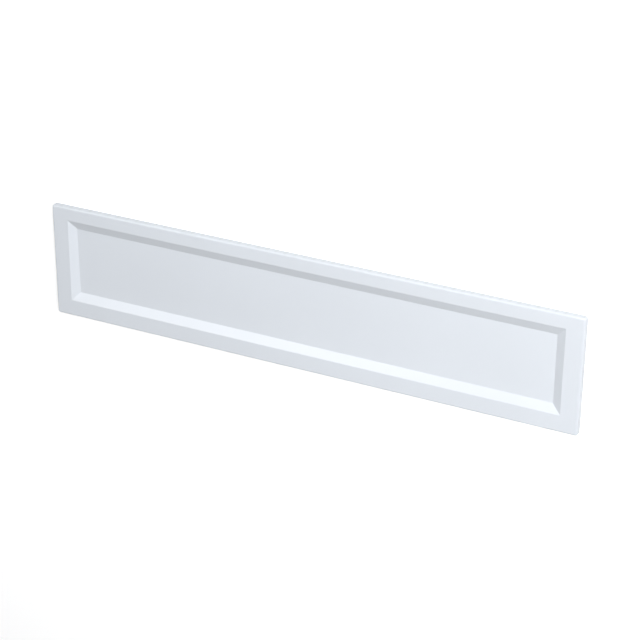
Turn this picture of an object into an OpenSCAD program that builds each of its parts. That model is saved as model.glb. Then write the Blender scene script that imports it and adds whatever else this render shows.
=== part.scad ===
// Front panel that hides the space under a raised shower tray.
// One formed plastic sheet: a flat border, a sunken field with mitred bevels,
// and an edge turned back all round. It lies face up on that turned-back edge.
// X runs along the panel, Y up the panel as fitted, Z out of its face.
// The origin is at the middle of the outline, on the floor.

/* [Outline] */
// Length of the panel over its turned-back edges
panel_l = 890; // [600:10:1800]
// Height of the panel, as fitted
panel_h = 190; // [130:5:300]
// Radius of the outline's corners, measured on the centre line of the fold
corner_r = 1; // [0.5:0.5:20]

/* [Sheet] */
// Thickness of the formed sheet
sheet_t = 2.5; // [1.5:0.25:4]
// Inside radius of the fold along the edge
fold_r = 0.5; // [0.25:0.25:2]
// Lean of the turned-back edge, in degrees, that lets it leave the mould
edge_draft = 2; // [0:0.5:5]
// How far the turned-back edge stands out behind the back of the field
edge_stand = 1.5; // [0.5:0.5:20]

/* [Border] */
// Width of the border above the field
border_top = 22; // [15:1:50]
// Width of the border below the field
border_bottom = 28; // [15:1:50]
// Width of the border at each end of the field
border_side = 28; // [15:1:80]

/* [Field] */
// Depth of the field below the border
field_d = 6.5; // [3:0.5:10]
// Width of the sloping bevel around the field
bevel_w = 14.5; // [6:0.5:20]
// Radius on the back of the sheet where the border bends down into the bevel
rim_r = 1.5; // [0.5:0.5:4]
// Radius on the face of the sheet where the bevel bends level into the field
foot_r = 3; // [0.5:0.5:6]

/* [Smoothness] */
// Width of the facets that round a bend
facet_w = 0.45; // [0.3:0.05:1.5]
// Facets between the two sides of each corner of the outline
corner_facets = 4; // [1:1:8]

/* [Hidden] */
// Overrun of cuts past the faces that they open
over = 1;
// Height of the border's face above the floor that the panel lies on
face_z = edge_stand + sheet_t + field_d;
// Centre line of the fold: its height, and its distance in from the outline
fold_z = face_z - sheet_t - fold_r;
fold_in = (sheet_t + fold_r + fold_z * sin(edge_draft)) / cos(edge_draft);
// Half sizes of the rectangle that the fold's centre line follows
fold_x = panel_l / 2 - fold_in;
fold_y = panel_h / 2 - fold_in;
// Slope of the bevel, and how far a bend of radius 1 reaches from its corner along each side
slope = atan2(field_d, bevel_w);
tangent = tan(slope / 2);

// Points round an arc, in facets of about facet_w and never fewer than two
function arc(centre, r, from, to) =
    let (steps = max(2, ceil(abs(to - from) / 180 * PI * r / facet_w)))
    [for (i = [0 : steps])
        let (turn = from + (to - from) * i / steps)
        centre + r * [cos(turn), sin(turn)]];

// A list of points down the right side, closed by the same points mirrored up the left side
function both_sides(points) =
    concat(points, [for (i = [len(points) - 1 : -1 : 0]) [-points[i].x, points[i].y]]);

// Distance from the middle to the fold's centre line, in the direction of a side or a corner facet
function fold_reach(turn) =
    (fold_x - corner_r) * abs(cos(turn)) + (fold_y - corner_r) * abs(sin(turn)) + corner_r;

// Section of the slab above z = base: two leaning sides whose top edges are rounded to radius r
module slab_section(reach, r, base) {
    foot_x = reach + r / cos(edge_draft) + (fold_z - base) * tan(edge_draft);
    polygon(both_sides(concat(
        arc([reach, fold_z], r, 90, edge_draft),
        [[foot_x, base]]
    )));
}

// Solid slab above z = base: sections crossing at each side and corner facet, so edges meet in mitres
module slab(r, base) {
    intersection_for (turn = [0 : 90 / (corner_facets + 1) : 179])
        rotate([90, 0, turn])
            linear_extrude(2 * panel_l, center = true)
                slab_section(fold_reach(turn), r, base);
}

// Section across the field's hollow, from lo to hi at its mouth, with a bent rim and foot each side
module field_section(lo, hi, rim, foot) {
    half = (hi - lo) / 2;
    rim_centre = [half + rim * tangent, -rim];
    foot_centre = [half - bevel_w - foot * tangent, foot - field_d];
    translate([(lo + hi) / 2, 0]) polygon(both_sides(concat(
        [[rim_centre.x, over]],
        arc(rim_centre, rim, 90, 90 + slope),
        arc(foot_centre, foot, slope - 90, -90)
    )));
}

// Hollow of the field below z = top: two sections crossing, so that the bevels meet in mitres
module field(grow, top, rim, foot) {
    end_x = panel_l / 2 - border_side + grow;
    low_y = border_bottom - panel_h / 2 - grow;
    high_y = panel_h / 2 - border_top + grow;
    translate([0, 0, top]) intersection() {
        rotate([90, 0, 0])
            linear_extrude(2 * panel_h, center = true)
                field_section(-end_x, end_x, rim, foot);
        rotate([90, 0, 90])
            linear_extrude(2 * panel_l, center = true)
                field_section(low_y, high_y, rim, foot);
    }
}

// The formed sheet: the face, less the same form set back by the sheet's thickness
module panel() {
    color("#EEF1F5") difference() {
        slab(sheet_t + fold_r, 0);
        field(0, face_z, rim_r + sheet_t, foot_r);
        difference() {
            slab(fold_r, -over);
            field(sheet_t * tangent, face_z - sheet_t, rim_r, foot_r + sheet_t);
        }
    }
}

panel();
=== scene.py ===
"""A white formed-plastic front panel for a raised shower tray, lying face up on a pale studio floor.

Metres, in the part's own frame: X along the panel, Y up the panel as it is fitted, Z out of its face.
"""

import math

import bpy
from mathutils import Matrix, Vector

# Camera, fitted to the panel's straight edges in the photograph
IMAGE_SIZE = 640  # pixels each way
FOCAL_PIXELS = 1925
SENSOR = 36  # mm
CAMERA_PLACE = Vector((1.179, 1.292, 2.337))
CAMERA_AIM = Vector((0.030, -0.001, 0.0105))
CAMERA_ROLL = math.radians(0.43)

# Plastic
PLASTIC_COLOUR = (0.82, 0.865, 0.925)
PLASTIC_ROUGHNESS = 0.22

# Light
AMBIENT = 0.06
FLOOR_SIZE = 30
FLOOR_SEEN = (0.92, 0.925, 0.93)
FLOOR_BOUNCE = (0.4, 0.4, 0.4)
FLOOR_GLOW = 0.5


class NodeTree:
    """Adds and links shader nodes in a few words."""

    def __init__(self, tree):
        self.tree = tree
        tree.nodes.clear()

    def add(self, kind, inputs=None, **settings):
        """A new node with its settings, and its inputs set to values or linked to sockets."""
        node = self.tree.nodes.new(kind)
        for name, value in settings.items():
            setattr(node, name, value)
        for name, value in (inputs or {}).items():
            socket = node.inputs[name]
            if isinstance(value, bpy.types.NodeSocket):
                self.tree.links.new(value, socket)
            else:
                socket.default_value = value
        return node


def rgba(colour):
    return (*colour, 1)


def plastic_material():
    """Glossy white formed sheet: faint orange peel, slow waves from forming, uneven gloss."""
    material = bpy.data.materials.new("white_gloss_plastic")
    material.use_nodes = True
    tree = NodeTree(material.node_tree)
    place = tree.add("ShaderNodeTexCoord").outputs["Object"]

    cloud = tree.add("ShaderNodeTexNoise", {"Vector": place, "Scale": 7, "Detail": 3, "Roughness": 0.5})
    colour = tree.add("ShaderNodeValToRGB", {"Fac": cloud.outputs["Fac"]})
    colour.color_ramp.elements[0].position = 0.3
    colour.color_ramp.elements[0].color = rgba([0.985 * c for c in PLASTIC_COLOUR])
    colour.color_ramp.elements[1].position = 0.7
    colour.color_ramp.elements[1].color = rgba(PLASTIC_COLOUR)

    smear = tree.add("ShaderNodeTexNoise", {"Vector": place, "Scale": 24, "Detail": 5, "Roughness": 0.6})
    gloss = tree.add("ShaderNodeMapRange", {
        "Value": smear.outputs["Fac"], "From Min": 0.3, "From Max": 0.7,
        "To Min": PLASTIC_ROUGHNESS - 0.03, "To Max": PLASTIC_ROUGHNESS + 0.04})

    waves = tree.add("ShaderNodeTexNoise", {"Vector": place, "Scale": 5, "Detail": 1})
    slow = tree.add("ShaderNodeBump", {"Height": waves.outputs["Fac"], "Strength": 0.35, "Distance": 0.0015})
    peel = tree.add("ShaderNodeTexNoise", {"Vector": place, "Scale": 420, "Detail": 2})
    fine = tree.add("ShaderNodeBump", {
        "Height": peel.outputs["Fac"], "Strength": 0.12, "Distance": 0.0002, "Normal": slow.outputs["Normal"]})

    shader = tree.add("ShaderNodeBsdfPrincipled", {
        "Base Color": colour.outputs["Color"], "Roughness": gloss.outputs["Result"],
        "Normal": fine.outputs["Normal"], "IOR": 1.49})
    tree.add("ShaderNodeOutputMaterial", {"Surface": shader.outputs["BSDF"]})
    return material


def smooth_bends(panel):
    """Shades the bends' facets as round, and leaves the flats flat and the mitres crisp."""
    weld = panel.modifiers.new("join_facets", "WELD")
    weld.merge_threshold = 0.00001

    group = bpy.data.node_groups.new("shade_bends", "GeometryNodeTree")
    group.interface.new_socket("Geometry", in_out="INPUT", socket_type="NodeSocketGeometry")
    group.interface.new_socket("Geometry", in_out="OUTPUT", socket_type="NodeSocketGeometry")
    tree = NodeTree(group)
    mesh = tree.add("NodeGroupInput").outputs["Geometry"]
    faces = tree.add("GeometryNodeSetShadeSmooth", {"Geometry": mesh, "Shade Smooth": True}, domain="FACE")
    angle = tree.add("GeometryNodeInputMeshEdgeAngle").outputs["Unsigned Angle"]
    gentle = tree.add("FunctionNodeCompare", {"A": angle, "B": math.radians(20)}, operation="LESS_THAN")
    edges = tree.add("GeometryNodeSetShadeSmooth", {
        "Geometry": faces.outputs["Geometry"], "Shade Smooth": gentle.outputs["Result"]}, domain="EDGE")
    tree.add("NodeGroupOutput", {"Geometry": edges.outputs["Geometry"]})
    panel.modifiers.new("shade_bends", "NODES").node_group = group

    flats = panel.modifiers.new("flat_flats", "WEIGHTED_NORMAL")
    flats.keep_sharp = True
    flats.weight = 100


def dress_panel(panel):
    panel.data.materials.clear()
    panel.data.materials.append(plastic_material())
    smooth_bends(panel)


def seen_directly(tree):
    """1 for rays from the camera, straight, mirrored or through glass, and 0 for light on the object."""
    path = tree.add("ShaderNodeLightPath")
    either = tree.add("ShaderNodeMath", {0: path.outputs["Is Camera Ray"], 1: path.outputs["Is Glossy Ray"]},
                      operation="MAXIMUM")
    return tree.add("ShaderNodeMath", {0: either.outputs[0], 1: path.outputs["Is Transmission Ray"]},
                    operation="MAXIMUM").outputs[0]


def make_world():
    world = bpy.data.worlds.new("studio")
    bpy.context.scene.world = world
    world.use_nodes = True
    tree = NodeTree(world.node_tree)
    strength = tree.add("ShaderNodeMapRange", {"Value": seen_directly(tree), "To Min": AMBIENT, "To Max": 1})
    sky = tree.add("ShaderNodeBackground", {
        "Color": rgba((1, 1, 1)), "Strength": strength.outputs["Result"]})
    tree.add("ShaderNodeOutputWorld", {"Surface": sky.outputs["Background"]})


def make_floor():
    bpy.ops.mesh.primitive_plane_add(size=FLOOR_SIZE)
    floor = bpy.context.object
    floor.name = "floor"
    material = bpy.data.materials.new("pale_floor")
    material.use_nodes = True
    tree = NodeTree(material.node_tree)
    paint = tree.add("ShaderNodeBsdfDiffuse", {"Color": rgba(FLOOR_SEEN)})
    glow = tree.add("ShaderNodeEmission", {"Strength": FLOOR_GLOW})
    white = tree.add("ShaderNodeAddShader", {0: paint.outputs["BSDF"], 1: glow.outputs["Emission"]})
    dim = tree.add("ShaderNodeBsdfDiffuse", {"Color": rgba(FLOOR_BOUNCE)})
    either = tree.add("ShaderNodeMixShader", {
        0: seen_directly(tree), 1: dim.outputs["BSDF"], 2: white.outputs["Shader"]})
    tree.add("ShaderNodeOutputMaterial", {"Surface": either.outputs["Shader"]})
    floor.data.materials.append(material)


def softbox(name, place, aim, size, power, spread=180):
    """A rectangular lamp at place, facing aim: size in metres, power in watts, spread of its beam in degrees."""
    data = bpy.data.lights.new(name, "AREA")
    data.shape = "RECTANGLE"
    data.size, data.size_y = size
    data.energy = power
    data.spread = math.radians(spread)
    light = bpy.data.objects.new(name, data)
    bpy.context.scene.collection.objects.link(light)
    light.location = place
    light.rotation_euler = (Vector(aim) - Vector(place)).to_track_quat("-Z", "Y").to_euler()


def make_lights():
    """The panel is lit from its right and from above it, so its left end and its upper slope are in shade."""
    softbox("side_softbox", (3.4, 0.6, 2.4), (0.2, 0, 0), (0.9, 0.9), 72)
    softbox("upper_softbox", (0.6, 2.4, 1.2), (0.1, 0, 0), (1.2, 0.8), 38)
    softbox("slope_strip", (-0.65, 0.55, 1.6), (-0.2, 0, 0), (1.8, 0.4), 6)
    softbox("left_fill", (-1.5, 0.6, 1.5), (-0.1, 0, 0), (0.9, 0.9), 4)
    softbox("lower_fill", (0.9, -1.3, 1.2), (0.2, 0, 0), (0.9, 0.9), 4.2)
    softbox("right_end_beam", (1.3, 0.8, 1.8), (0.45, 0, 0), (0.8, 0.8), 0.9, spread=50)


def make_camera():
    data = bpy.data.cameras.new("photo_camera")
    data.sensor_width = SENSOR
    data.lens = FOCAL_PIXELS / IMAGE_SIZE * SENSOR
    camera = bpy.data.objects.new("photo_camera", data)
    bpy.context.scene.collection.objects.link(camera)
    back = (CAMERA_PLACE - CAMERA_AIM).normalized()
    right = Vector((0, 1, 0)).cross(back).normalized()
    axes = Matrix((right, back.cross(right), back)).transposed().to_4x4()
    camera.matrix_world = Matrix.Translation(CAMERA_PLACE) @ axes @ Matrix.Rotation(CAMERA_ROLL, 4, "Z")
    bpy.context.scene.camera = camera


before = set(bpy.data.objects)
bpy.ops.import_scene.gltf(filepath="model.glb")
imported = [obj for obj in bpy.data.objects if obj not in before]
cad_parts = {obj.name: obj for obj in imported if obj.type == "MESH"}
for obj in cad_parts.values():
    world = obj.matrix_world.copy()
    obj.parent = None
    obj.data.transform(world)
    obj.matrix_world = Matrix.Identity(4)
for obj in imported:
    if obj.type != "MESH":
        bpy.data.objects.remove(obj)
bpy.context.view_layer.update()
dress_panel(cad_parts["panel"])
make_world()
make_floor()
make_lights()
make_camera()
bpy.context.scene.view_settings.view_transform = "Standard"
